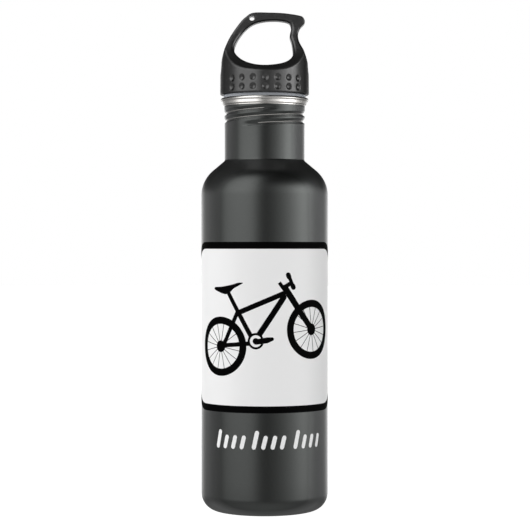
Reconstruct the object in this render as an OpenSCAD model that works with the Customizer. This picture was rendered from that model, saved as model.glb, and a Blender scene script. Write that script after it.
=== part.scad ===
// Single-wall steel sports bottle with a screw cap that ends in a carry loop.
// +Z is up, the origin is the centre of the standing ring, and the print faces -Y.

/* [Bottle] */
// Outside diameter of the body, the size a bicycle bottle cage grips
body_d = 73; // [71:0.5:75]
// Height of the straight side, from the table to the start of the shoulder
side_h = 181.2; // [165:0.2:200]
// Thickness of the steel
wall = 0.8; // [0.6:0.1:0.9]
// Width of the rounded corner at the foot
corner_w = 9.5; // [7:0.5:11]
// Height of the rounded corner at the foot
corner_h = 11.5; // [9:0.5:13]
// Radius of the arc where the side turns into the shoulder
shoulder_r = 18.8; // [18:0.2:20]
// Slope of the shoulder's cone above the horizontal, in degrees
shoulder_slope = 40; // [36:1:44]
// Outside diameter of the neck
neck_d = 46; // [45.5:0.5:46.5]
// Height of the neck, from the shoulder to the top of the lip
neck_h = 36; // [34:0.5:40]
// Height of the dome pressed into the base
base_dome = 3; // [2:0.5:5]

/* [Thread] */
// Rise of the two-start thread in one turn
lead = 8.3; // [8:0.1:8.6]
// Depth of the groove rolled into the neck
thread_depth = 0.8; // [0.7:0.1:0.8]
// Length of each of the two rolled grooves, in degrees
thread_sweep = 423; // [396:9:450]
// Direction in which the first groove starts, in degrees from +X
thread_start = 233; // [200:1:260]

/* [Cap] */
// Outside diameter of the cap's skirt
cap_d = 51.2; // [51:0.2:52.6]
// Height of the cap above the lip, to the top of the loop
cap_h = 48.9; // [47:0.1:50]
// Diameter of the hole for a cord in the loop
cord_hole_d = 3; // [2:0.5:3.5]
// Length of the threaded plug below the lip
plug_len = 16.2; // [15:0.2:17]
// Diameter of each grip dimple where it meets the skirt
dimple_d = 3.6; // [3:0.2:3.8]

/* [Print] */
// Height of the lower edge of the black frame above the table
panel_z = 58.8; // [50:1:62]
// Height of the black frame
panel_h = 95.7; // [90:1:100]
// Width of the black frame's line
frame_w = 3.9; // [3:0.1:5]
// Height of the middle of the row of strokes above the table
stroke_z = 43.8; // [43:0.2:44.6]

/* [Hidden] */
$fn = 96;

body_r = body_d / 2;
neck_r = neck_d / 2;
cap_r = cap_d / 2;
bore_r = neck_r - wall;
weld_r = body_r - corner_w - 1.5;
turn_end = 90 - shoulder_slope;
film_t = 0.09;

// The seal is 0.05 mm short of the cap and 0.08 mm clear of the plug, so that it can turn.
seal_h = 1.9;
seal_gap = 0.05;
seal_fit = 0.08;
plug_r = bore_r - 1;
spigot_r = plug_r - 0.6;
plug_wall = 2;
cap_seat = seal_h + seal_gap;
skirt_z = 1.8;

// Axial half widths of the rolled ridge inside the neck and of the plug's own thread,
// and how far the plug's thread sits below the ridge it pulls against.
ridge_tip = 0.5;
ridge_foot = 1.2;
plug_tip = 0.45;
plug_foot = 0.85;
thread_drop = 1.7;
thread_fit = 0.2;
starts = [0, 180];

function arc(cx, cy, rx, ry, from, to, steps) =
    [for (i = [0 : steps])
        let (a = from + (to - from) * i / steps)
        [cx + rx * cos(a), cy + ry * sin(a)]];

// Where the shoulder's arc ends, and where its cone meets the neck, on a wall moved in by o.
function cone_start(o) =
    [body_r - shoulder_r + (shoulder_r - o) * cos(turn_end),
     side_h + (shoulder_r - o) * sin(turn_end)];
function neck_foot(o) =
    cone_start(o)[1] + (cone_start(o)[0] - neck_r + o) * tan(shoulder_slope);

neck_z = neck_foot(0);
lip_z = neck_z + neck_h;
thread_z = lip_z - 17.05;

// The side of the bottle from the weld to the neck, moved in by o.
function side(o) = concat(
    [[weld_r, o]],
    arc(body_r - corner_w, corner_h, corner_w - o, corner_h - o, -90, 0, 8),
    arc(body_r - shoulder_r, side_h, shoulder_r - o, shoulder_r - o, 0, turn_end, 10),
    [[neck_r - o, neck_foot(o)]]);

// The rolled lip, from the outside of the neck to the bore: the steel curls outwards into a bead.
bead_r = 1.05;
lip = concat(
    [[neck_r, lip_z - 6.6], [neck_r + 0.2, lip_z - 5.6], [neck_r + 0.2, lip_z - 2.2]],
    arc(neck_r + 1.3, lip_z - bead_r, bead_r, bead_r, -130, 90, 8),
    arc(bore_r + 0.9, lip_z - 0.9, 0.9, 0.9, 90, 180, 3));

function reversed(list) = [for (i = [len(list) - 1 : -1 : 0]) list[i]];

// Smooth closed curve through a few points: each span is a Catmull-Rom spline.
function spline_point(a, b, c, d, t) =
    0.5 * ((2 * b) + (c - a) * t + (2 * a - 5 * b + 4 * c - d) * t * t
           + (3 * b - a - 3 * c + d) * t * t * t);
function smooth(p, steps) =
    let (n = len(p))
    [for (i = [0 : n - 1], k = [0 : steps - 1])
        spline_point(p[(i + n - 1) % n], p[i], p[(i + 1) % n], p[(i + 2) % n], k / steps)];

// A helical bar: root_r and tip_r are its radii, foot and tip its axial half widths there.
// It rises by lead in each turn, and its tip sinks into its root at both ends.
module helix_bar(root_r, tip_r, foot, tip, start, sweep, z) {
    steps_per_turn = 40;
    fade = 30;
    n = ceil(sweep * steps_per_turn / 360);
    points = [for (i = [0 : n])
        let (a = sweep * i / n,
             f = min(1, a / fade + 0.05, (sweep - a) / fade + 0.05),
             r = root_r + (tip_r - root_r) * f,
             h = z + lead * a / 360)
        for (p = [[root_r, -foot], [r, -tip], [r, tip], [root_r, foot]])
            [p[0] * cos(start + a), p[0] * sin(start + a), h + p[1]]];
    inward = tip_r < root_r;
    sides = [for (i = [0 : n - 1], k = [0 : 3])
        let (a = 4 * i + k, b = 4 * i + (k + 1) % 4)
        each [[a, b, b + 4], [a, b + 4, a + 4]]];
    ends = [[0, 3, 2], [0, 2, 1], [4 * n, 4 * n + 1, 4 * n + 2], [4 * n, 4 * n + 2, 4 * n + 3]];
    faces = concat(sides, ends);
    polyhedron(points, inward ? [for (f = faces) reversed(f)] : faces);
}

module bottle_shell() {
    color("#3c3e3e")
    difference() {
        union() {
            rotate_extrude() polygon(concat(side(0), lip, reversed(side(wall))));
            for (s = starts)
                helix_bar(bore_r + 0.3, bore_r - thread_depth, ridge_foot, ridge_tip,
                          thread_start + s, thread_sweep, thread_z);
        }
        for (s = starts)
            helix_bar(neck_r + 0.3, neck_r - thread_depth, 1.15, 0.3,
                      thread_start + s, thread_sweep, thread_z);
    }
}

// Pressed disc that closes the foot. Its rim lies flat with the standing ring.
module base_cup() {
    rim = 1.5;
    rise = 5;
    dome_r = weld_r - rim - rise;
    function skin(z) = concat(
        [[weld_r, z], [weld_r - rim, z]],
        [for (i = [1 : 6]) [weld_r - rim - rise * i / 6, z + base_dome * (1 - cos(30 * i)) / 2]],
        [for (i = [1 : 4]) [dome_r * (1 - i / 4), z + base_dome + 0.8 * (1 - pow(1 - i / 4, 2))]]);
    color("silver")
    rotate_extrude() polygon(concat(skin(0), reversed(skin(wall))));
}

// Outline of the loop seen from the front, and of its opening, above the lip.
loop_outline = [
    [30, -10], [25.6, 15.5], [24.95, 20.3], [22.4, 26.9], [19.8, 32.1], [19.2, 36.3], [20.35, 40],
    [23.1, 43.3], [22.2, 46.2], [19.6, 47.4], [11.4, cap_h - 0.4], [3, cap_h], [-6.6, cap_h - 0.1],
    [-10.9, cap_h - 2.6], [-14.3, 43], [-19.35, 35.7], [-22.6, 28.6], [-24.8, 21.7],
    [-25.6, 15.5], [-30, -10]];
loop_opening = [
    [0, 17.8], [9, 18.8], [14.1, 21.1], [16.3, 24.7], [15.7, 30.9], [14.45, 35.3], [15.2, 40.4],
    [12.8, 43.6], [4, 44.5], [-4.8, 43.1], [-10.7, 39.3], [-15.85, 32.6], [-17.45, 26.7],
    [-13.9, 21.9], [-7.8, 18.9]];

// Half of the loop's thickness seen from the side: a hollow sweep from the skirt to the top bar.
loop_section = [
    [40, 8.5], [25.4, 14.6], [21.4, 16.4], [17.2, 19.4], [13, 23.5], [9.5, 28.5], [6.6, 34.5],
    [5, 40.5], [4.6, 52]];

module skirt() {
    edge = 0.7;
    rotate_extrude()
    polygon([[0, skirt_z], [cap_r - edge, skirt_z], [cap_r, skirt_z + edge], [cap_r - 0.1, 14],
             [cap_r - 0.2, 26], [cap_r - 0.2, cap_h + 2], [0, cap_h + 2]]);
}

module loop_front() {
    rotate([90, 0, 0])
    linear_extrude(height = 2 * cap_r + 2, center = true)
    difference() {
        polygon(smooth(loop_outline, 5));
        polygon(smooth(loop_opening, 4));
    }
}

module loop_side() {
    half = [for (i = [0 : len(loop_section) - 2], k = [0 : 3])
        let (last = len(loop_section) - 1)
        spline_point(loop_section[max(i - 1, 0)], loop_section[i], loop_section[i + 1],
                     loop_section[min(i + 2, last)], k / 4)];
    right = concat([[40, -10]], half, [loop_section[len(loop_section) - 1]]);
    rotate([90, 0, 90])
    linear_extrude(height = 2 * cap_r + 2, center = true)
    polygon(concat(right, reversed([for (p = right) [-p[0], p[1]]])));
}

// Two rows of dimples, on the front and on the back of the skirt, turned a little against the loop.
module dimples() {
    columns = 7;
    spread = 15.8;
    turned = 1;
    depth = 0.7;
    ball_r = (pow(dimple_d / 2, 2) + depth * depth) / (2 * depth);
    for (side = [-90, 90], row = [5.1, 10.2], k = [0 : columns - 1])
        rotate([0, 0, side + turned + (k - (columns - 1) / 2) * spread])
        translate([cap_r - 0.1 + ball_r - depth, 0, row])
        sphere(r = ball_r, $fn = 48);
}

// Moulded cap: grip skirt, carry loop and the socket that holds the threaded plug.
module cap_shell() {
    socket_h = 8;
    recess_r = neck_r + 1.2;
    color("#2b2c2c")
    translate([0, 0, lip_z])
    difference() {
        intersection() {
            skirt();
            loop_front();
            loop_side();
        }
        translate([0, 0, -1]) cylinder(r = recess_r, h = 1 + cap_seat);
        cylinder(r = spigot_r, h = cap_seat + socket_h);
        translate([-7.3, 0, cap_h - 3.2])
        rotate([90, 0, 0])
        cylinder(d = cord_hole_d, h = 2 * cap_r, center = true, $fn = 48);
        dimples();
    }
}

// Plug that is fixed in the cap: its own thread pulls on the ridge rolled into the neck.
module thread_plug() {
    spigot_h = 6;
    thread_from = 160;
    color("#333535")
    translate([0, 0, lip_z])
    difference() {
        union() {
            translate([0, 0, -plug_len]) cylinder(r = plug_r, h = plug_len + cap_seat);
            cylinder(r = spigot_r, h = cap_seat + spigot_h);
            for (s = starts)
                helix_bar(plug_r - 0.2, bore_r - thread_fit, plug_foot + 0.1, plug_tip,
                          thread_start + s + thread_from, 430,
                          thread_z - lip_z + lead * thread_from / 360 - thread_drop);
        }
        translate([0, 0, plug_wall - plug_len])
        cylinder(r = plug_r - plug_wall - 0.6, h = plug_len + 20);
    }
}

// Silicone ring squeezed between the lip and the cap.
module seal_ring() {
    inner = plug_r + seal_fit;
    outer = neck_r + 0.6;
    round_r = 0.5;
    color("#85888c")
    translate([0, 0, lip_z])
    rotate_extrude()
    polygon(concat(
        [[inner, 0]],
        arc(outer - round_r, round_r, round_r, round_r, -90, 0, 4),
        arc(outer - round_r, seal_h - round_r, round_r, round_r, 0, 90, 4),
        [[inner, seal_h]]));
}

// Layer of ink on the side of the body.
module film() {
    rotate_extrude()
    translate([body_r, panel_z - 30])
    square([film_t, panel_h + 60]);
}

// A flat shape pushed straight back through the front half of the body.
module stamp() {
    rotate([90, 0, 0])
    linear_extrude(height = body_r + 1)
    children();
}

// Rectangle with rounded ends that wraps around the front, inset by i from the frame's edge.
module wrapped_sheet(i) {
    reach = 4 - i;
    corner = 18.6 - i;
    rotate([90, 0, 90])
    linear_extrude(height = body_d + 2, center = true)
    union() {
        translate([-body_d, panel_z + i]) square([body_d + reach - corner, panel_h - 2 * i]);
        translate([reach - corner - 1, panel_z + i + corner])
        square([corner + 1, panel_h - 2 * i - 2 * corner]);
        for (z = [panel_z + i + corner, panel_z + panel_h - i - corner])
            translate([reach - corner, z]) circle(r = corner);
    }
}

module print_frame() {
    color("black")
    intersection() {
        film();
        difference() {
            wrapped_sheet(0);
            wrapped_sheet(frame_w);
        }
    }
}

// Bicycle drawn flat, in millimetres along the wheelbase and above it, rear hub at [0, 0].
wheelbase = 57.2;
wheel_r = 16.7;
tyre_w = 4.1;
hub_r = 3.3;
crank = [22.3, -0.4];
chainring_r = [4.6, 3.35];
seat_lug = [14.7, 17.6];
fork_bend = [50.6, 11.2];
tubes = [
    [[0, 0.4], [22.3, -1.5], 2.4], [[2.2, 0], seat_lug, 2.4], [[21.2, -0.4], seat_lug, 2.6],
    [seat_lug, [10.4, 29], 2.4], [[14.9, 16.8], [43.4, 23.5], 2.9], [[21.7, -0.4], [43.2, 22.5], 3.3],
    [[40.7, 29.7], [43.6, 24], 2], [[43.4, 26.2], fork_bend, 3.7], [fork_bend, [wheelbase, 0], 3.7],
    [[42.6, 26.3], [46.6, 27.9], 2.5], [[46.4, 33.8], [48.9, 24.6], 2.5]];
rings = [
    [[0, 0], wheel_r, wheel_r - tyre_w], [[wheelbase, 0], wheel_r, wheel_r - tyre_w],
    [crank, chainring_r[0], chainring_r[1]]];
discs = [[[0, 0], hub_r], [[wheelbase, 0], hub_r], [crank, 1.75]];
crank_arm = [[crank, [32, -0.8], 2.9]];
saddle = [[0.9, 33.5], [7.8, 32.9], [13.6, 33], [17.6, 33.4], [20.4, 32.8], [14.1, 30.6], [9, 28.3],
          [6.6, 28.9], [0.3, 32.4]];

// From the flat drawing to the side of the body: turned, placed, then wrapped and seen from the front.
bike_turn = 9.5;
bike_at = [-27, 37];
function wrapped(p) =
    let (s = bike_at[0] + p[0] * cos(bike_turn) - p[1] * sin(bike_turn),
         z = bike_at[1] + p[0] * sin(bike_turn) + p[1] * cos(bike_turn))
    [body_r * sin(s / body_r * 180 / PI), panel_z + z];

module tube_stroke(a, b, w) {
    steps = 4;
    n = [a[1] - b[1], b[0] - a[0]] / norm(b - a) * w / 2;
    polygon([for (q = concat(
        [for (i = [0 : steps]) a + (b - a) * i / steps + n],
        [for (i = [steps : -1 : 0]) a + (b - a) * i / steps - n])) wrapped(q)]);
}

module disc_mark(c, r) {
    polygon([for (p = arc(c[0], c[1], r, r, 0, 350, 35)) wrapped(p)]);
}

// The tubes stop inside the chainring's band, so that its middle stays open.
module bicycle_stamp() {
    overlap = 0.5;
    difference() {
        for (t = tubes) stamp() tube_stroke(t[0], t[1], t[2]);
        stamp() disc_mark(crank, chainring_r[1] + overlap);
    }
    for (t = crank_arm) stamp() tube_stroke(t[0], t[1], t[2]);
    for (r = rings)
        stamp()
        difference() {
            disc_mark(r[0], r[1]);
            disc_mark(r[0], r[2]);
        }
    for (d = discs) stamp() disc_mark(d[0], d[1]);
    stamp() polygon([for (p = saddle) wrapped(p)]);
}

module print_panel() {
    color("white")
    difference() {
        intersection() {
            film();
            wrapped_sheet(frame_w);
        }
        bicycle_stamp();
    }
}

module print_bicycle() {
    color("black")
    intersection() {
        film();
        bicycle_stamp();
    }
}

// Three groups of slanted strokes, the first of each taller, where words could be printed.
module print_strokes() {
    groups = [-20.2, 2.8, 26.8];
    step = 5.3;
    lean = 0.9;
    stroke_w = 2.4;
    height = 10.6;
    low = stroke_z - height / 2;
    color("white")
    intersection() {
        film();
        stamp()
        for (g = groups, k = [0 : 3])
            let (turn = (g + (k - 1.5) * step) / body_r * 180 / PI,
                 tall = k == 0 ? 1 : 0.74,
                 x = body_r * sin(turn) - lean,
                 top_x = x + 2 * lean * tall,
                 w = stroke_w / 2 * cos(turn))
            polygon([[x - w, low], [x + w, low],
                     [top_x + w, low + height * tall], [top_x - w, low + height * tall]]);
    }
}

bottle_shell();
base_cup();
cap_shell();
thread_plug();
seal_ring();
print_frame();
print_panel();
print_bicycle();
print_strokes();
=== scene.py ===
"""Looks of a steel sports bottle with a screw cap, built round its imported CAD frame.

Shapes are worked out in millimetres and become metres when a mesh is made.
The bottle's axis is +Z, its print faces -Y, and heights named *_up are above the lip.
"""

import math

import bpy
import numpy as np
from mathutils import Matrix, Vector
from mathutils.geometry import delaunay_2d_cdt


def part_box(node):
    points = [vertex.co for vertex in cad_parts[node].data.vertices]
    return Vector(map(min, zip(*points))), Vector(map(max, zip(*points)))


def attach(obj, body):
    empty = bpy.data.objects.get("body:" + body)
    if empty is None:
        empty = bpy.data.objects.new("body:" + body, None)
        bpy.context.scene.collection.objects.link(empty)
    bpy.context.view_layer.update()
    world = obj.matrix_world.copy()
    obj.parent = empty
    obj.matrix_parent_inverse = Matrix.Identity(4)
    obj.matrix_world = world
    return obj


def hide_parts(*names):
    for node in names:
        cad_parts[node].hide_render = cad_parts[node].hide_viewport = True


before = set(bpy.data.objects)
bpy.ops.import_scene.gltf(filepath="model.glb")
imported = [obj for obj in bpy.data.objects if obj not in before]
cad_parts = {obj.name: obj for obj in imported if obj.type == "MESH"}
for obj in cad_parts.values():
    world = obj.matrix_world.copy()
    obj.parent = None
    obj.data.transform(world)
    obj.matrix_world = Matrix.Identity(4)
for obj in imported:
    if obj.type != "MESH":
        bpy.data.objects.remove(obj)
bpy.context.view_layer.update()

MM = 0.001


def corner(node, high=True):
    """Lowest or highest corner of a CAD node, in millimetres."""
    return np.array(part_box(node)[1 if high else 0]) / MM


# ---------------------------------------------------------------- sizes taken from the frame

BODY_R = corner("bottle_shell")[0]
LIP_Z = corner("bottle_shell")[2]
WELD_R = corner("base_cup")[0]
CAP_R = corner("cap_shell")[0]
CAP_H = corner("cap_shell")[2] - LIP_Z
SKIRT_UP = corner("cap_shell", high=False)[2] - LIP_Z
SEAL_R = corner("seal_ring")[0]
SEAL_H = corner("seal_ring")[2] - LIP_Z
PLUG_UP = corner("thread_plug", high=False)[2] - LIP_Z
PLUG_TOP_UP = corner("thread_plug")[2] - LIP_Z
FRAME_LOW = corner("print_frame", high=False)
FRAME_HIGH = corner("print_frame")
STROKE_LOW = corner("print_strokes", high=False)[2]
STROKE_HIGH = corner("print_strokes")[2]

# ---------------------------------------------------------------- sizes of the bottle

WALL = 0.8
CORNER_W = 9.5
CORNER_H = 10.2
SIDE_H = 181.2
SHOULDER_R = 18.8
SHOULDER_SLOPE = 40
NECK_R = 23.0
NECK_TOP_R = 23.2
NECK_FILLET = 1.3
BORE_R = NECK_R - WALL
COAT_EDGE_UP = -4.55
COAT_T = 0.1
BEAD_R = 25.3
COLLAR_R = 24.2
BASE_DOME = 3.0

# The thread has two starts. Angles are in degrees.
THREAD_UP = -17.05
THREAD_LEAD = 8.3
THREAD_SWEEP = 423
THREAD_START = 233
THREAD_DEPTH = 0.85
GROOVE_DEPTH = 1.05
PLUG_THREAD_TURN = 160
PLUG_THREAD_SWEEP = 430
PLUG_THREAD_DEPTH = 0.78
SPIGOT_R = BORE_R - 1.6

SEGMENTS = 288


def arc(cx, cz, rx, rz, start, stop, steps):
    """Points on an ellipse's arc, from start to stop in degrees."""
    turn = np.radians(np.linspace(start, stop, steps + 1))
    return [(cx + rx * math.cos(a), cz + rz * math.sin(a)) for a in turn]


def line(a, b, steps):
    """Points from a to b, without b itself."""
    return [(a[0] + (b[0] - a[0]) * i / steps, a[1] + (b[1] - a[1]) * i / steps) for i in range(steps)]


def spline(points, steps):
    """Smooth closed curve through a few points, as Catmull-Rom spans."""
    p = np.array(points, float)
    curve = []
    for i in range(len(p)):
        a, b, c, d = p[i - 1], p[i], p[(i + 1) % len(p)], p[(i + 2) % len(p)]
        for k in range(steps):
            t = k / steps
            curve.append(0.5 * (2 * b + (c - a) * t + (2 * a - 5 * b + 4 * c - d) * t**2
                                + (3 * b - a - 3 * c + d) * t**3))
    return np.array(curve)


# ---------------------------------------------------------------- meshes

def make_object(name, points, faces, materials, face_material=None, sharp=None):
    """A mesh object from points in millimetres. sharp is the angle, in degrees, of edges kept crisp."""
    mesh = bpy.data.meshes.new(name)
    mesh.from_pydata((np.asarray(points) * MM).tolist(), [], [list(f) for f in faces])
    for material in materials:
        mesh.materials.append(material)
    if face_material is not None:
        mesh.polygons.foreach_set("material_index", np.asarray(face_material, np.int32))
    mesh.polygons.foreach_set("use_smooth", np.ones(len(mesh.polygons), bool))
    if sharp is not None:
        mesh.set_sharp_from_angle(angle=math.radians(sharp))
    mesh.validate()
    made = bpy.data.objects.new(name, mesh)
    bpy.context.scene.collection.objects.link(made)
    return made


def lathe(name, profile, materials, push=None, row_material=None, segments=SEGMENTS, sharp=50):
    """Surface of revolution. A profile end on the axis becomes a pole. Otherwise the profile is closed.
    push(angle, row, z) moves each point of a row outwards."""
    turn = np.linspace(0, 2 * math.pi, segments, endpoint=False)
    points, first = [], []
    for row, (r, z) in enumerate(profile):
        first.append(len(points))
        if r < 1e-6:
            points.append((0, 0, z))
            continue
        radius = r + (push(np.degrees(turn), row, z) if push else 0)
        points.extend(np.stack([radius * np.cos(turn), radius * np.sin(turn), np.full(segments, z)], 1))
    faces, face_material = [], []
    poles = profile[0][0] < 1e-6
    rows = len(profile)
    for row in range(rows - 1 if poles else rows):
        low, high = row, (row + 1) % rows
        a, b = first[low], first[high]
        for j in range(segments):
            k = (j + 1) % segments
            if profile[low][0] < 1e-6:
                faces.append((a, b + k, b + j))
            elif profile[high][0] < 1e-6:
                faces.append((a + j, a + k, b))
            else:
                faces.append((a + j, a + k, b + k, b + j))
        face_material.extend([row_material[row] if row_material else 0] * segments)
    return make_object(name, points, faces, materials, face_material, sharp)


def smooth(t):
    """Clipped to 0..1 and eased at both ends."""
    t = np.clip(t, 0, 1)
    return t**2 * (3 - 2 * t)


def ridge(foot, tip):
    """Cross-section of a thread: foot and tip are its half widths at the bottom and at the top."""
    return lambda off: smooth((foot - np.abs(off)) / (foot - tip))


def rolled_groove(off):
    """Cross-section of the groove outside: a steep ledge below and a long, easy slope above."""
    ledge_foot, ledge_h, slope_top, slope_h, deepest = -0.5, 0.8, 2.9, 2.4, 0.4
    return np.where(off < deepest, smooth((off - ledge_foot) / ledge_h), smooth((slope_top - off) / slope_h))


def thread(angle, z, start_z, sweep, start, section, fade=32):
    """Height, 0 to 1, of a two-start thread at an angle in degrees and a height above the lip."""
    height = np.zeros(np.shape(angle))
    for begin in (start, start + 180):
        for lap in (0, 360, 720):
            along = (angle - begin) % 360 + lap
            off = z - start_z - THREAD_LEAD * along / 360
            ends = smooth(np.minimum(along, sweep - along) / fade)
            height = np.maximum(height, section(off) * ends)
    return height


def shell_side(inset):
    """The side of the bottle from the weld to the foot of the thread, moved in by inset."""
    turn_end = 90 - SHOULDER_SLOPE
    slope = math.radians(SHOULDER_SLOPE)
    cx = BODY_R - SHOULDER_R
    r = SHOULDER_R - inset
    cone = (cx + r * math.cos(math.radians(turn_end)), SIDE_H + r * math.sin(math.radians(turn_end)))
    foot_z = cone[1] + (cone[0] - NECK_R + inset) * math.tan(slope)
    fillet = NECK_FILLET + inset
    tangent = fillet * math.tan(math.radians(turn_end / 2))
    neck = arc(NECK_R - inset + fillet, foot_z + tangent, fillet, fillet, 180 + turn_end, 180, 8)
    base = arc(BODY_R - CORNER_W, CORNER_H, CORNER_W - inset, CORNER_H - inset, -90, 0, 20)
    return ([(WELD_R, inset)] + base + line((BODY_R - inset, CORNER_H), (BODY_R - inset, SIDE_H), 18)[1:]
            + arc(cx, SIDE_H, r, r, 0, turn_end, 22) + line(cone, neck[0], 6)[1:] + neck)


def neck_side(inset, count):
    """The threaded side of the neck, moved in by inset, as count rows that widen a little upwards."""
    low = LIP_Z + THREAD_UP - 1.6
    high = LIP_Z + COAT_EDGE_UP - 1.2
    widening = NECK_TOP_R - NECK_R
    return [(NECK_R - inset + widening * t, low + (high - low) * t) for t in np.linspace(0, 1, count)]


def lip_side(coat_edge):
    """Bare steel from the coat's edge to the bore: upright collar, flared bead over it, curled lip."""
    bare = NECK_TOP_R - COAT_T
    edge, curl = 0.5, 0.9
    collar_z, under_bead_z, over_bead_z = LIP_Z - 3.5, LIP_Z - 1.15, LIP_Z - edge
    side = [(bare, coat_edge), (bare, coat_edge + 0.4)]
    side += arc(COLLAR_R - edge, collar_z, edge, 0.45, -86, 0, 10)
    side += [(COLLAR_R, LIP_Z - down) for down in (3.2, 2.1, 1.9)]
    side += arc(BEAD_R - edge, under_bead_z, edge, 0.75, -90, 20, 10)
    side += arc(BEAD_R - 2 * edge, over_bead_z, 0.7, edge, 20, 90, 10)
    return side + arc(BORE_R + curl, LIP_Z - curl, curl, curl, 90, 180, 8)


def bottle_shell(coat, steel):
    """Drawn steel body: one closed skin with its rolled thread and curled lip, coated outside."""
    outer, inner = shell_side(0), shell_side(WALL)
    rows, bore = neck_side(0, 100), neck_side(WALL, 46)
    coat_edge = LIP_Z + COAT_EDGE_UP
    coated = outer + rows + [(NECK_TOP_R, coat_edge - 0.1), (NECK_TOP_R - 0.03, coat_edge - 0.02)]
    lip = lip_side(coat_edge)
    profile = coated + lip + bore[::-1] + inner[::-1]
    grooved = range(len(outer), len(outer) + len(rows))
    ridged = range(len(coated) + len(lip), len(coated) + len(lip) + len(bore))

    def push(angle, row, z):
        up = z - LIP_Z
        if row in grooved:
            return -GROOVE_DEPTH * thread(angle, up, THREAD_UP, THREAD_SWEEP, THREAD_START, rolled_groove)
        if row in ridged:
            crest = ridge(1.15, 0.12)
            return -THREAD_DEPTH * thread(angle, up, THREAD_UP, THREAD_SWEEP, THREAD_START, crest)
        return 0

    row_material = [0 if row < len(coated) - 1 else 1 for row in range(len(profile))]
    row_material[-1] = 0
    return lathe("bottle_shell_skin", profile, [coat, steel], push, row_material)


def base_cup(steel):
    """Pressed disc welded into the foot: flat rim with a weld bead, a drawn step and a shallow dome."""
    rim_z, rim_r, rise = 0.12, WELD_R - 1.5, 5.0
    dome_r, dome_h = rim_r - rise, 0.8
    step_r, step_h, step_w = 12.0, 0.35, 0.25

    def height(r):
        if r > dome_r:
            drawn = max(0, (1 - math.cos(math.pi * (rim_r - r) / rise)) / 2)
            return rim_z + BASE_DOME * drawn
        pressed = step_h / (1 + math.exp((r - step_r) / step_w))
        return rim_z + BASE_DOME + dome_h * (1 - (r / dome_r) ** 2) + pressed

    radii = list(np.linspace(0, dome_r, 60)) + list(np.linspace(dome_r, rim_r, 16))[1:]
    under = [(r, height(r)) for r in radii]
    bead = [(WELD_R - 0.75, rim_z), (WELD_R - 0.6, 0.03), (WELD_R - 0.3, 0.0), (WELD_R - 0.02, 0.06)]
    top = [(r, z + WALL) for r, z in reversed(under)]
    profile = under + bead + [(WELD_R - 0.02, WALL)] + top
    return lathe("base_cup_disc", profile, [steel], segments=200, sharp=60)


def seal_ring(silicone):
    """Silicone ring, squeezed so that its outside bulges a little."""
    inner_r, edge, inner_edge, bulge = SEAL_R - 2.3, 0.45, 0.3, 0.08
    side = [(SEAL_R - bulge * (t / 3 - 1) ** 2, edge + (SEAL_H - 2 * edge) * t / 6) for t in range(1, 6)]
    section = arc(inner_r + inner_edge, inner_edge, inner_edge, inner_edge, 180, 270, 4)
    section += arc(SEAL_R - edge, edge, edge, edge, -90, 0, 6) + side
    section += arc(SEAL_R - edge, SEAL_H - edge, edge, edge, 0, 90, 6)
    section += arc(inner_r + inner_edge, SEAL_H - inner_edge, inner_edge, inner_edge, 90, 180, 4)
    return lathe("seal_ring_silicone", [(r, z + LIP_Z) for r, z in section], [silicone], segments=200)


def thread_plug(plastic):
    """Moulded plug with its own two-start thread. Its floor is dished and ringed where it was moulded."""
    plug_r, hollow_r, floor_t, edge = BORE_R - 1, 18.6, 2.0, 0.9
    seat = SEAL_H + 0.05
    dish = [(0, 0.5), (0.8, 0.5), (1.2, 0.9), (9, 0.9), (9.5, 0.6), (15.5, 0.6), (16, 0.0), (17, 0.0)]
    under = [(r, PLUG_UP + z) for r, z in dish]
    under += arc(plug_r - edge, PLUG_UP + edge, edge, edge, -90, 0, 6)
    rows = [(plug_r, z) for z in np.linspace(PLUG_UP + 1.0, -3.4, 56)]
    top = [(plug_r, -2.5), (plug_r, seat), (SPIGOT_R, seat), (SPIGOT_R, PLUG_TOP_UP), (hollow_r, PLUG_TOP_UP)]
    inside = [(hollow_r, PLUG_UP + floor_t), (0, PLUG_UP + floor_t)]
    profile = under + rows + top + inside
    thread_up = THREAD_UP + THREAD_LEAD * PLUG_THREAD_TURN / 360 - 1.7
    start = THREAD_START + PLUG_THREAD_TURN

    def push(angle, row, z):
        if not len(under) <= row < len(under) + len(rows):
            return 0
        crest = ridge(0.95, 0.4)
        return PLUG_THREAD_DEPTH * thread(angle, z - LIP_Z, thread_up, PLUG_THREAD_SWEEP, start, crest)

    return lathe("thread_plug_moulding", [(r, z + LIP_Z) for r, z in profile], [plastic], push,
                 segments=256, sharp=40)


# ---------------------------------------------------------------- the cap, as a distance field

# Seen from the front: across, and up from the lip. The section is seen from the side: half thickness, and up.
LOOP_OUTLINE = [
    (30, -10), (25.6, 15.5), (24.95, 20.3), (22.4, 26.9), (19.8, 32.1), (19.2, 36.3), (20.35, 40),
    (23.1, 43.3), (22.2, 46.2), (19.6, 47.4), (11.4, CAP_H - 0.4), (3, CAP_H), (-6.6, CAP_H - 0.1),
    (-10.9, CAP_H - 2.6), (-14.3, 43), (-19.35, 35.7), (-22.6, 28.6), (-24.8, 21.7),
    (-25.6, 15.5), (-30, -10)]
LOOP_OPENING = [
    (0, 17.8), (9, 18.8), (14.1, 21.1), (16.3, 24.7), (15.7, 30.9), (14.45, 35.3), (15.2, 40.4),
    (12.8, 43.6), (4, 44.5), (-4.8, 43.1), (-10.7, 39.3), (-15.85, 32.6), (-17.45, 26.7),
    (-13.9, 21.9), (-7.8, 18.9)]
LOOP_SECTION = [
    (40, 8.5), (25.4, 14.6), (21.4, 16.4), (17.2, 19.4), (13, 23.5), (9.5, 28.5), (6.6, 34.5),
    (5, 40.5), (4.6, 60), (-60, 60), (-60, -20), (60, -20)]
CORD_HOLE = (-7.3, CAP_H - 3.2, 1.5)
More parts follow.
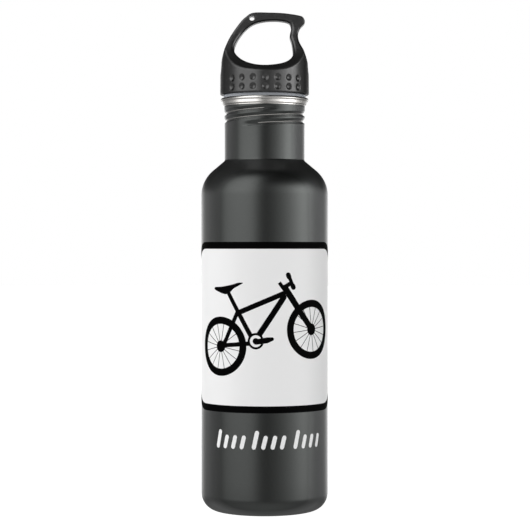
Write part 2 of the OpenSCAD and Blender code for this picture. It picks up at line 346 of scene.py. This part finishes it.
DIMPLE = {"columns": 7, "spread": 15.8, "turned": 1, "rows": (5.1, 10.2), "width": 3.6, "depth": 0.75}
# Radii that edges of the cap are rounded by.
ROUND = {
    "loop": 1.0, "opening": 1.9, "skirt": 0.75, "blend": 1.1, "dimple": 0.28, "cord": 0.35, "socket": 0.2}


def polygon_distance(points, x, z):
    """Signed distance to a closed polygon, negative inside."""
    x, z = np.broadcast_arrays(x, z)
    best = np.full(x.shape, np.inf)
    inside = np.zeros(x.shape, bool)
    for (ax, az), (bx, bz) in zip(points, np.roll(points, -1, axis=0)):
        ex, ez = bx - ax, bz - az
        t = np.clip(((x - ax) * ex + (z - az) * ez) / (ex * ex + ez * ez), 0, 1)
        best = np.minimum(best, (x - ax - t * ex) ** 2 + (z - az - t * ez) ** 2)
        crosses = (az > z) != (bz > z)
        inside ^= crosses & (x < ex * (z - az) / (ez if ez else 1) + ax)
    return np.where(inside, -1, 1) * np.sqrt(best)


def both(a, b, radius):
    """Field of the space inside both a and b, its edge rounded by radius."""
    rounded = np.hypot(np.maximum(a + radius, 0), np.maximum(b + radius, 0))
    return np.minimum(np.maximum(a, b), -radius) + rounded


CURVE_STEPS = 6
LOOP_CURVE = spline(LOOP_OUTLINE, CURVE_STEPS)
OPENING_CURVE = spline(LOOP_OPENING, CURVE_STEPS)
# The section is smooth from its second point to its eighth. The others lie outside the cap and stay corners.
SECTION_CURVE = np.concatenate([
    spline(LOOP_SECTION, CURVE_STEPS)[CURVE_STEPS:7 * CURVE_STEPS + 1], LOOP_SECTION[-4:], LOOP_SECTION[:1]])


def cut_dimples(field, x, y, z):
    """Takes rows of shallow balls out of a field, on the front and on the back of the skirt."""
    spread, turned = DIMPLE["spread"], DIMPLE["turned"]
    reach = (DIMPLE["columns"] - 1) / 2
    half, depth = DIMPLE["width"] / 2, DIMPLE["depth"]
    ball_r = (half**2 + depth**2) / (2 * depth)
    fold = np.degrees(np.arctan2(y, x)) % 180 - 90 - turned
    column = np.clip(np.round(fold / spread), -reach, reach)
    centre = np.radians(np.where(y < 0, -90, 90) + turned + spread * column)
    out = CAP_R - 0.1 + ball_r - depth
    flat = (x - out * np.cos(centre)) ** 2 + (y - out * np.sin(centre)) ** 2
    for row in DIMPLE["rows"]:
        field = both(field, ball_r - np.sqrt(flat + (z - row) ** 2), ROUND["dimple"])
    return field


def cap_field(x, y, z):
    """Distance to the cap's surface, in millimetres above the lip's centre, negative in the plastic."""
    r = np.hypot(x, y)
    front, side = polygon_distance(LOOP_CURVE, x, z), polygon_distance(SECTION_CURVE, np.abs(y), z)
    loop = both(front, side, ROUND["loop"])
    loop = both(loop, -polygon_distance(OPENING_CURVE, x, z), ROUND["opening"])
    skirt_r = np.interp(z, [0, 2, 14, 26, 60], [CAP_R, CAP_R, CAP_R - 0.1, CAP_R - 0.2, CAP_R - 0.2])
    skirt = both(r - skirt_r, SKIRT_UP - z, ROUND["skirt"])
    field = cut_dimples(both(loop, skirt, ROUND["blend"]), x, y, z)
    cord_x, cord_z, cord_r = CORD_HOLE
    field = both(field, cord_r - np.hypot(x - cord_x, z - cord_z), ROUND["cord"])
    socket = np.maximum(r - SPIGOT_R, z - SEAL_H - 8)
    recess = np.maximum(r - (NECK_R + 1.2), z - SEAL_H - 0.05)
    return both(field, -np.minimum(socket, recess), ROUND["socket"])


def surface_net(field, origin, step):
    """Points and quads on a sampled field's zero surface, one point in each cell that it crosses."""
    inside = field < 0
    shape = np.array(field.shape) - 1
    offsets = np.array([(i, j, k) for i in (0, 1) for j in (0, 1) for k in (0, 1)])
    count = sum(inside[i:i + shape[0], j:j + shape[1], k:k + shape[2]].astype(np.int8) for i, j, k in offsets)
    active = (count > 0) & (count < 8)
    index = np.full(active.shape, -1)
    index[active] = np.arange(active.sum())
    cells = np.argwhere(active)
    total, crossings = np.zeros((len(cells), 3)), np.zeros(len(cells))
    for a in offsets:
        for b in offsets:
            if (b - a).sum() != 1 or (b - a).min() < 0:
                continue
            fa, fb = field[tuple((cells + a).T)], field[tuple((cells + b).T)]
            cross = (fa < 0) != (fb < 0)
            t = np.where(cross, fa / np.where(cross, fa - fb, 1), 0)
            total += np.where(cross[:, None], a + t[:, None] * (b - a), 0)
            crossings += cross
    points = origin + step * (cells + total / crossings[:, None])
    quads = []
    for axis in range(3):
        u, v = (axis + 1) % 3, (axis + 2) % 3
        low = np.take(inside, range(shape[axis]), axis)
        high = np.take(inside, range(1, shape[axis] + 1), axis)
        for sign, edges in ((1, np.argwhere(low & ~high)), (-1, np.argwhere(~low & high))):
            keep = (edges[:, u] > 0) & (edges[:, v] > 0) & (edges[:, u] < shape[u]) & (edges[:, v] < shape[v])
            edges = edges[keep]
            ring = []
            for du, dv in ((-1, -1), (0, -1), (0, 0), (-1, 0))[::sign]:
                cell = edges.copy()
                cell[:, u] += du
                cell[:, v] += dv
                ring.append(index[tuple(cell.T)])
            quads.append(np.stack(ring, 1))
    return points, np.concatenate(quads)


def settle(points, field, rounds=3, probe=0.02):
    """Moves points along the field's slope until they lie on its zero surface."""
    for _ in range(rounds):
        slope = np.stack([
            (field(*(points + d).T) - field(*(points - d).T)) / (2 * probe) for d in np.eye(3) * probe], 1)
        step = field(*points.T) / np.maximum((slope**2).sum(1), 0.25)
        points = points - np.clip(step, -0.2, 0.2)[:, None] * slope
    return points


def cap_shell(plastic):
    """Moulded cap: dimpled skirt that sweeps up into the carry loop, with the socket for the plug."""
    step, margin = 0.33, 1
    low = np.array([-CAP_R, -CAP_R, SKIRT_UP]) - margin
    high = np.array([CAP_R, CAP_R, CAP_H]) + margin
    size = np.ceil((high - low) / step).astype(int) + 1
    x, y, z = np.ogrid[0:size[0], 0:size[1], 0:size[2]]
    field = cap_field(low[0] + step * x, low[1] + step * y, low[2] + step * z)
    points, quads = surface_net(field, low, step)
    points = settle(points, cap_field)
    return make_object("cap_shell_moulding", points + [0, 0, LIP_Z], quads, [plastic])


# ---------------------------------------------------------------- the print

# The bicycle is drawn flat, its rear hub at (0, 0), then turned by BIKE_TURN degrees and put at BIKE_AT.
BIKE_TURN = 9.5
BIKE_AT = (-27.0, FRAME_LOW[2] + 37)
WHEELBASE = 57.2
WHEEL_R = 16.7
TYRE_W = 4.1
HUB_R = 3.3
CRANK = (22.3, -0.4)
SEAT_LUG = (14.7, 17.6)
FORK_BEND = (50.6, 11.2)
SPOKES = 16
CHAINRING_R = 4.6
CHAINRING_W = 1.25
SADDLE = [
    (0.9, 33.5), (4, 33.2), (7.8, 32.9), (13.6, 33), (17.6, 33.4), (20.4, 32.8), (17.8, 31.8),
    (14.1, 30.6), (12, 29.2), (9, 28.3), (6.6, 28.9), (3.2, 30.6), (0.3, 32.4)]
# Bars of the frame, fork and handlebar: both ends and the width.
BIKE_BARS = [
    ((0, 0.4), (22.3, -1.5), 2.4), ((2.2, 0), SEAT_LUG, 2.4), ((21.2, -0.4), SEAT_LUG, 2.6),
    (SEAT_LUG, (10.4, 29), 2.4), ((14.9, 16.8), (42, 23.2), 2.9), ((21.7, -0.4), (42, 21.2), 3.3),
    ((43.4, 26.2), FORK_BEND, 3.7), (FORK_BEND, (WHEELBASE, 0), 3.7), ((42.6, 26.3), (46.6, 27.9), 2.4),
    ((46.9, 32.2), (48.4, 26.2), 2.1), ((46.6, 33), (46.9, 31.8), 2.9), ((48.3, 26.6), (48.6, 25.6), 2.9)]


def stroke(a, b, width_a, width_b=None, cap=5):
    """Flat bar from a to b with round ends."""
    width_b = width_a if width_b is None else width_b
    lean = math.degrees(math.atan2(b[1] - a[1], b[0] - a[0]))
    return (arc(*b, width_b / 2, width_b / 2, lean - 90, lean + 90, cap)
            + arc(*a, width_a / 2, width_a / 2, lean + 90, lean + 270, cap))


def disc(centre, radius):
    """Round shape with 36 sides."""
    return arc(*centre, radius, radius, 0, 350, 35)


def ring(centre, outer, inner, steps=72):
    """Ring as quads side by side."""
    a, b = arc(*centre, outer, outer, 0, 360, steps), arc(*centre, inner, inner, 0, 360, steps)
    return [[a[i], a[i + 1], b[i + 1], b[i]] for i in range(steps)]


def wheel(centre, turned):
    """Tyre, hub and straight spokes. turned is the direction of the first spoke."""
    rim, spoke_w = WHEEL_R - TYRE_W, 0.34
    reach = rim + 0.3
    shapes = ring(centre, WHEEL_R, rim) + [disc(centre, HUB_R)]
    for k in range(SPOKES):
        turn = math.radians(turned + 360 * k / SPOKES)
        end = (centre[0] + reach * math.cos(turn), centre[1] + reach * math.sin(turn))
        shapes.append(stroke(centre, end, spoke_w, cap=2))
    return shapes


def bicycle():
    """Generic bicycle, rear hub at (0, 0). Returns its shapes, and the set of those that clear what they
    cover."""
    shapes = wheel((0, 0), 2.5) + wheel((WHEELBASE, 0), -3)
    shapes += [stroke(*bar) for bar in BIKE_BARS]
    shapes.append(stroke((40.7, 29.7), (43.6, 24), 2.1, cap=1))
    shapes.append(spline(SADDLE, 5))
    shapes += [disc(CRANK, CHAINRING_R), disc(CRANK, CHAINRING_R - CHAINRING_W)]
    gap = len(shapes) - 1
    shapes.append(disc(CRANK, 1.75))
    shapes.append(stroke((22.3, -0.85), (28.6, -0.95), 3.0, 3.3))
    shapes.append(stroke((28.6, -0.95), (31.5, -0.75), 3.3, 2.1))
    turn = math.radians(BIKE_TURN)
    placed = []
    for shape in shapes:
        x, y = np.array(shape, float).T
        placed.append(np.stack([
            BIKE_AT[0] + x * math.cos(turn) - y * math.sin(turn),
            BIKE_AT[1] + x * math.sin(turn) + y * math.cos(turn)], 1))
    return placed, {gap}


def rounded_box(half_w, low, high, radius, steps):
    """Corner-rounded rectangle, centred across."""
    points = []
    for cx, cz, start in ((half_w - radius, low + radius, -90), (half_w - radius, high - radius, 0),
                          (radius - half_w, high - radius, 90), (radius - half_w, low + radius, 180)):
        points += arc(cx, cz, radius, radius, start, start + 90, steps)
    return points


def ink(name, shapes, material, low, high, gaps=(), strip=1.0):
    """Flat shapes joined into one sheet, wrapped round the body between the heights low and high above it.
    Later shapes lie over earlier ones, and those in gaps clear what they cover.
    The sheet is cut into strips narrow enough to follow the body's curve."""
    points, faces, edges = [], [], []
    for shape in shapes:
        start = len(points)
        s, z = np.array(shape, float).T
        area = np.dot(s, np.roll(z, -1)) - np.dot(z, np.roll(s, -1))
        points += [Vector((float(s), float(z))) for s, z in (shape if area > 0 else shape[::-1])]
        faces.append(list(range(start, len(points))))
    across, up = [p[0] for p in points], [p[1] for p in points]
    for k in range(math.ceil(min(across) / strip), math.floor(max(across) / strip) + 1):
        edges.append((len(points), len(points) + 1))
        points += [Vector((k * strip, min(up) - 0.5)), Vector((k * strip, max(up) + 0.5))]
    flat, _, triangles, _, _, owners = delaunay_2d_cdt(points, edges, faces, 0, 1e-4)
    kept = [t if (flat[t[1]] - flat[t[0]]).cross(flat[t[2]] - flat[t[0]]) > 0 else t[::-1]
            for t, owner in zip(triangles, owners) if owner and max(owner) not in gaps]
    used = sorted({i for t in kept for i in t})
    renumber = {old: new for new, old in enumerate(used)}
    kept = [[renumber[i] for i in t] for t in kept]
    count = len(used)
    s, z = np.array([flat[i] for i in used]).T
    layers = [np.stack([r * np.sin(s / BODY_R), -r * np.cos(s / BODY_R), z], 1)
              for r in (BODY_R + high, BODY_R + low)]
    directed = {(t[i], t[(i + 1) % 3]) for t in kept for i in range(3)}
    rims = [(a, b) for a, b in sorted(directed) if (b, a) not in directed]
    solid = (kept + [[i + count for i in t[::-1]] for t in kept]
             + [[b, a, a + count, b + count] for a, b in rims])
    return make_object(name, np.concatenate(layers), solid, [material], sharp=35)


def framed_panel():
    """The frame, as quads side by side, and the outline of the panel inside it."""
    half = BODY_R * (math.pi / 2 + math.asin(FRAME_HIGH[1] / FRAME_HIGH[0]))
    low, high = FRAME_LOW[2], FRAME_HIGH[2]
    line_w, radius, steps = 3.9, 19.0, 20
    outer = rounded_box(half, low, high, radius, steps)
    inner = rounded_box(half - line_w, low + line_w, high - line_w, radius - line_w, steps)
    count = len(outer)
    return [[outer[i], outer[(i + 1) % count], inner[(i + 1) % count], inner[i]] for i in range(count)], inner


def stroke_groups():
    """Three groups of slanted strokes. The first of each group is taller than the rest."""
    height, width, pitch, slant = STROKE_HIGH - STROKE_LOW, 2.4, 5.3, 1.8
    strokes = []
    for middle in (-20.2, 2.8, 26.8):
        for k, tall in enumerate((1, 0.74, 0.74, 0.74)):
            s = middle + (k - 1.5) * pitch - slant / 2
            foot = (s, STROKE_LOW + width / 2)
            tip = (s + slant * tall, STROKE_LOW + height * tall - width / 2)
            strokes.append(stroke(foot, tip, width))
    return strokes


def prints(black, white):
    """The four ink layers: black frame, white panel, bicycle, and the row of strokes below.
    The bicycle lies on the panel's ink."""
    frame_quads, panel = framed_panel()
    drawing, gaps = bicycle()
    under, ink_top, drawing_top = 0.01, 0.05, 0.08
    return {
        "print_frame": ink("print_frame_ink", frame_quads, black, under, ink_top),
        "print_panel": ink("print_panel_ink", [panel], white, under, ink_top),
        "print_bicycle": ink("print_bicycle_ink", drawing, black, ink_top, drawing_top, gaps),
        "print_strokes": ink("print_strokes_ink", stroke_groups(), white, under, ink_top),
    }


# ---------------------------------------------------------------- materials

class Material:
    """A procedural material. node() adds a shader node. An input may be a value or another node's output."""

    def __init__(self, name, **surface):
        self.made = bpy.data.materials.new(name)
        self.made.use_nodes = True
        self.tree = self.made.node_tree
        self.surface = self.tree.nodes["Principled BSDF"]
        self.set(self.surface, surface)
        self.place = self.node("TexCoord").outputs["Object"]

    def set(self, node, inputs):
        for key, value in inputs.items():
            socket = node.inputs[key if isinstance(key, int) else key.replace("_", " ")]
            if isinstance(value, bpy.types.NodeSocket):
                self.tree.links.new(value, socket)
            else:
                socket.default_value = value

    def node(self, kind, options=None, **inputs):
        node = self.tree.nodes.new("ShaderNode" + kind)
        for key, value in (options or {}).items():
            setattr(node, key, value)
        self.set(node, inputs)
        return node

    def stretched(self, x, y, z):
        return self.node("Mapping", Vector=self.place, Scale=(x, y, z)).outputs["Vector"]

    def noise(self, size, detail=2.0, vector=None, rough=0.5):
        """Noise whose features are about size millimetres wide, 0 to 1."""
        scale = 1.0 if vector is not None else 1 / (size * MM)
        made = self.node("TexNoise", Vector=vector or self.place, Scale=scale, Detail=detail, Roughness=rough)
        return made.outputs["Fac"]

    def between(self, factor, low, high, start=0.0, stop=1.0):
        """Maps factor from start..stop to low..high."""
        made = self.node("MapRange", Value=factor)
        for key, value in (("From Min", start), ("From Max", stop), ("To Min", low), ("To Max", high)):
            made.inputs[key].default_value = value
        return made.outputs["Result"]

    def tint(self, factor, low, high):
        """Colour between low and high, each three numbers or another node's output."""
        ends = [end if isinstance(end, bpy.types.NodeSocket) else (*end, 1) for end in (low, high)]
        made = self.node("Mix", {"data_type": "RGBA"})
        self.set(made, {0: factor, 6: ends[0], 7: ends[1]})
        return made.outputs[2]

    def bump(self, height, depth, below=None):
        """Bump whose full height is depth millimetres."""
        made = self.node("Bump", Height=height, Strength=1.0, Distance=depth * MM)
        if below is not None:
            self.tree.links.new(below, made.inputs["Normal"])
        return made.outputs["Normal"]

    def finish(self, colour=None, roughness=None, normal=None):
        for key, value in (("Base Color", colour), ("Roughness", roughness), ("Normal", normal)):
            if value is not None:
                self.tree.links.new(value, self.surface.inputs[key])
        return self.made


def powder_coat():
    """Satin charcoal powder coat: orange peel, a fine grain and a painted sheen that lightens its colour
    where the surface turns edge-on to the camera.
    """
    m = Material("powder_coat", Metallic=0.96)
    peel, grain = m.noise(1.6, 2), m.noise(0.16, 2)
    speck = m.between(grain, 0, 1, 0.3, 0.7)
    facing = m.node("LayerWeight", Blend=0.5).outputs["Facing"]
    front = m.tint(speck, (0.062, 0.066, 0.065), (0.082, 0.085, 0.082))
    # Painted sheen: the lighter colour the coat is given towards its edges as seen from the camera, which
    # stands in for the light on those edges.
    painted_edge_sheen = m.tint(speck, (0.21, 0.215, 0.215), (0.25, 0.255, 0.255))
    colour = m.tint(m.between(facing, 0, 1, 0.28, 0.55), front, painted_edge_sheen)
    roughness = m.between(m.noise(0.5, 3), 0.31, 0.37, 0.3, 0.7)
    return m.finish(colour, roughness, m.bump(grain, 0.004, m.bump(peel, 0.012)))


def bare_steel():
    """Stainless steel turned on its axis: fine lines run round it, with faint smears along them."""
    round_axis = {"direction_type": "RADIAL", "axis": "Z"}
    m = Material("bare_steel", Metallic=1.0, Anisotropic=0.5)
    m.set(m.surface, {"Tangent": m.node("Tangent", round_axis).outputs["Tangent"]})
    lines = m.noise(1, 3, m.stretched(60, 60, 9000), 0.7)
    smear = m.noise(7, 2)
    colour = m.tint(smear, (0.64, 0.625, 0.60), (0.71, 0.695, 0.67))
    roughness = m.between(lines, 0.198, 0.36, 0.3, 0.7)
    return m.finish(colour, roughness, m.bump(lines, 0.002))


def turned_steel():
    """The base: lines run round the axis on a flat face, so they follow the distance from it."""
    m = Material("turned_steel", Metallic=1.0)
    flat = m.stretched(1, 1, 0)
    radius = m.node("VectorMath", {"operation": "LENGTH"})
    m.tree.links.new(flat, radius.inputs[0])
    spread = m.node("CombineXYZ", X=radius.outputs["Value"])
    lines = m.node("TexNoise", Vector=spread.outputs["Vector"], Scale=6000, Detail=3).outputs["Fac"]
    colour = m.tint(m.noise(9, 3), (0.66, 0.65, 0.63), (0.78, 0.77, 0.75))
    return m.finish(colour, m.between(lines, 0.24, 0.42, 0.3, 0.7), m.bump(lines, 0.003))


def moulded_plastic(name, dark, light, shine, grain_size, grain_depth, ior):
    """Moulded polypropylene with the fine spark-eroded grain of its mould."""
    m = Material(name, IOR=ior)
    facing = m.node("LayerWeight", Blend=0.5).outputs["Facing"]
    gloss, gloss_aslant = 0.5, 0.04
    m.set(m.surface, {"Specular IOR Level": m.between(facing, gloss, gloss_aslant, 0.24, 0.58)})
    grain = m.noise(grain_size, 3, rough=0.6)
    cells = m.node("TexVoronoi", Vector=m.place, Scale=1 / (grain_size * 1.6 * MM)).outputs["Distance"]
    colour = m.tint(m.noise(6, 3), dark, light)
    roughness = m.between(m.noise(2.5, 3), shine, shine + 0.09, 0.3, 0.7)
    return m.finish(colour, roughness, m.bump(cells, grain_depth * 0.6, m.bump(grain, grain_depth)))


def silicone():
    """Grey silicone: matt, with a faint bloom of dust."""
    m = Material("seal_silicone", IOR=1.43)
    dust = m.noise(0.25, 4)
    colour = m.tint(m.between(dust, 0, 1, 0.4, 0.75), (0.34, 0.36, 0.39), (0.42, 0.44, 0.47))
    return m.finish(colour, m.between(dust, 0.5, 0.62), m.bump(dust, 0.006))


def ink_material(name, dark, light, shine, ior):
    """Cured ink that lies on the coat and takes on some of its orange peel."""
    m = Material(name, IOR=ior)
    peel, mottle = m.noise(1.4, 2), m.noise(0.35, 3)
    colour = m.tint(mottle, dark, light)
    roughness = m.between(mottle, shine, shine + 0.08)
    return m.finish(colour, roughness, m.bump(mottle, 0.002, m.bump(peel, 0.008)))


# ---------------------------------------------------------------- light

# Brightness of the soft panels round the bottle by azimuth, in degrees to the right of the camera.
HORIZON = (
    (-180, 3.4), (-160, 3.0), (-146, 0.9), (-130, 0.45), (-86, 0.45), (-76, 1.85), (-45, 2.1), (-20, 2.1),
    (-10, 0.2), (-4, 0.08), (3, 0.08), (10, 0.3), (20, 0.6), (32, 1.0), (45, 1.65), (58, 2.5), (70, 3.9),
    (86, 3.9), (95, 0.6), (130, 0.45), (146, 0.9), (160, 3.0), (180, 3.4))
# Elevation, in degrees, of the panels' upper edges by azimuth.
PANEL_TOP = (
    (-180, 2), (-130, 4), (-90, 12), (-80, 45), (-60, 60), (-20, 66), (0, 45), (20, 34), (60, 28),
    (90, 26), (110, 12), (130, 4), (180, 2))
TOP_SOFTNESS = 9
# Elevations between which the panels' lower edge and the floor's far edge fade.
PANEL_FOOT = (-19, 5)
FLOOR_EDGE = (-36, -4)
OVERHEAD = 0.006
# The floor's brightness, and how much brighter it is in front of the bottle and darker behind it.
FLOOR = 0.4
FLOOR_TURN = 0.2


def studio():
    """World of soft panels. The camera itself sees plain white behind the bottle."""
    world = bpy.data.worlds.new("studio")
    bpy.context.scene.world = world
    world.use_nodes = True
    tree = world.node_tree
    nodes, links = tree.nodes, tree.links
    nodes.clear()
    ray = nodes.new("ShaderNodeSeparateXYZ")
    links.new(nodes.new("ShaderNodeTexCoord").outputs["Generated"], ray.inputs["Vector"])
    x, y, z = ray.outputs

    def plug(socket, value):
        if isinstance(value, bpy.types.NodeSocket):
            links.new(value, socket)
        else:
            socket.default_value = value

    def maths(kind, *values):
        made = nodes.new("ShaderNodeMath")
        made.operation = kind
        for socket, value in zip(made.inputs, values):
            plug(socket, value)
        return made.outputs["Value"]

    def ramp(stops, scale):
        """Value by azimuth. A colour ramp holds 0 to 1, so its stops are divided by scale."""
        made = nodes.new("ShaderNodeValToRGB")
        links.new(turn, made.inputs["Fac"])
        elements = made.color_ramp.elements
        elements[0].position, elements[1].position = 0, 1
        for azimuth, _ in stops[1:-1]:
            elements.new((azimuth + 180) / 360)
        for element, (_, value) in zip(elements, stops):
            element.color = (value / scale, value / scale, value / scale, 1)
        return maths("MULTIPLY", made.outputs["Color"], scale)

    def fade(value, start, stop, low, high):
        """Eases from low to high while value goes from start to stop."""
        made = nodes.new("ShaderNodeMapRange")
        made.interpolation_type = "SMOOTHSTEP"
        for key, number in zip(("Value", "From Min", "From Max", "To Min", "To Max"),
                               (value, start, stop, low, high)):
            plug(made.inputs[key], number)
        return made.outputs["Result"]

    azimuth = maths("ARCTAN2", x, maths("MULTIPLY", y, -1))
    turn = maths("ADD", maths("DIVIDE", azimuth, 2 * math.pi), 0.5)
    height = maths("DEGREES", maths("ARCSINE", z))
    above_top = maths("SUBTRACT", height, ramp(PANEL_TOP, 90))
    light = maths("MULTIPLY", ramp(HORIZON, 4), fade(above_top, -TOP_SOFTNESS, TOP_SOFTNESS, 1, 0))
    light = maths("MULTIPLY", light, fade(height, *PANEL_FOOT, 0, 1))
    below = maths("ADD", FLOOR, maths("MULTIPLY", maths("COSINE", azimuth), FLOOR_TURN))
    light = maths("ADD", light, fade(height, *FLOOR_EDGE, below, OVERHEAD))
    seen = nodes.new("ShaderNodeLightPath").outputs["Is Camera Ray"]
    strength = maths("ADD", maths("MULTIPLY", light, maths("SUBTRACT", 1, seen)), seen)
    background = nodes.new("ShaderNodeBackground")
    background.inputs["Color"].default_value = (1, 1, 1, 1)
    links.new(strength, background.inputs["Strength"])
    links.new(background.outputs["Background"], nodes.new("ShaderNodeOutputWorld").inputs["Surface"])


def side_lamp(azimuth, strength):
    """Lamp at the far left that only matt surfaces show: it whitens the left side of the print."""
    data = bpy.data.lights.new("side_lamp", "SUN")
    data.energy = strength
    data.angle = math.radians(20)
    made = bpy.data.objects.new("side_lamp", data)
    bpy.context.scene.collection.objects.link(made)
    made.rotation_euler = (math.radians(90), 0, math.radians(azimuth))
    made.visible_glossy = False


def floor():
    """Pale round floor that glows a little, so that it runs into the white behind it."""
    m = Material("floor_paper", Roughness=0.9, Emission_Color=(1, 1, 1, 1), Emission_Strength=1.0)
    m.finish(m.tint(m.noise(30, 3), (0.5, 0.5, 0.5), (0.53, 0.53, 0.53)))
    radius, sides = 6000.0, 64
    turns = np.linspace(0, 2 * math.pi, sides, False)
    points = [(0, 0, 0)] + [(radius * math.cos(a), radius * math.sin(a), 0) for a in turns]
    faces = [(0, i, i % sides + 1) for i in range(1, sides + 1)]
    made = make_object("floor", points, faces, [m.made])
    made.visible_glossy = False
    made.visible_diffuse = False


def camera():
    """Camera at about the height of the middle of the bottle, tipped down by half a degree."""
    distance, height, aside, tip = 1.0395, 0.1514, 0.00023, 0.56
    data = bpy.data.cameras.new("camera")
    data.lens = 122.26
    data.sensor_width = 36.0
    made = bpy.data.objects.new("camera", data)
    bpy.context.scene.collection.objects.link(made)
    made.location = (aside, -distance, height)
    made.rotation_euler = (math.radians(90 - tip), 0, 0)
    bpy.context.scene.camera = made


# ---------------------------------------------------------------- assembly

def stand_in(piece, node, body):
    """piece is shown in place of a CAD node and moves with its body."""
    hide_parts(node)
    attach(piece, body)


coat = powder_coat()
steel = bare_steel()
cap_plastic = moulded_plastic(
    "cap_plastic", dark=(0.014, 0.014, 0.014), light=(0.018, 0.018, 0.0175),
    shine=0.28, grain_size=0.32, grain_depth=0.018, ior=1.72)
plug_plastic = moulded_plastic(
    "plug_plastic", dark=(0.016, 0.016, 0.017), light=(0.022, 0.022, 0.023),
    shine=0.3, grain_size=0.5, grain_depth=0.004, ior=1.5)
black_ink = ink_material(
    "black_ink", dark=(0.0006, 0.0006, 0.0006), light=(0.001, 0.001, 0.001), shine=0.6, ior=1.1)
white_ink = ink_material(
    "white_ink", dark=(0.92, 0.92, 0.92), light=(0.95, 0.95, 0.95), shine=0.38, ior=1.45)

stand_in(bottle_shell(coat, steel), "bottle_shell", "bottle")
stand_in(base_cup(turned_steel()), "base_cup", "bottle")
stand_in(seal_ring(silicone()), "seal_ring", "seal")
stand_in(thread_plug(plug_plastic), "thread_plug", "cap")
stand_in(cap_shell(cap_plastic), "cap_shell", "cap")
for node, piece in prints(black_ink, white_ink).items():
    stand_in(piece, node, "bottle")

studio()
side_lamp(-110, 1.9)
floor()
camera()
bpy.context.scene.view_settings.view_transform = "Standard"
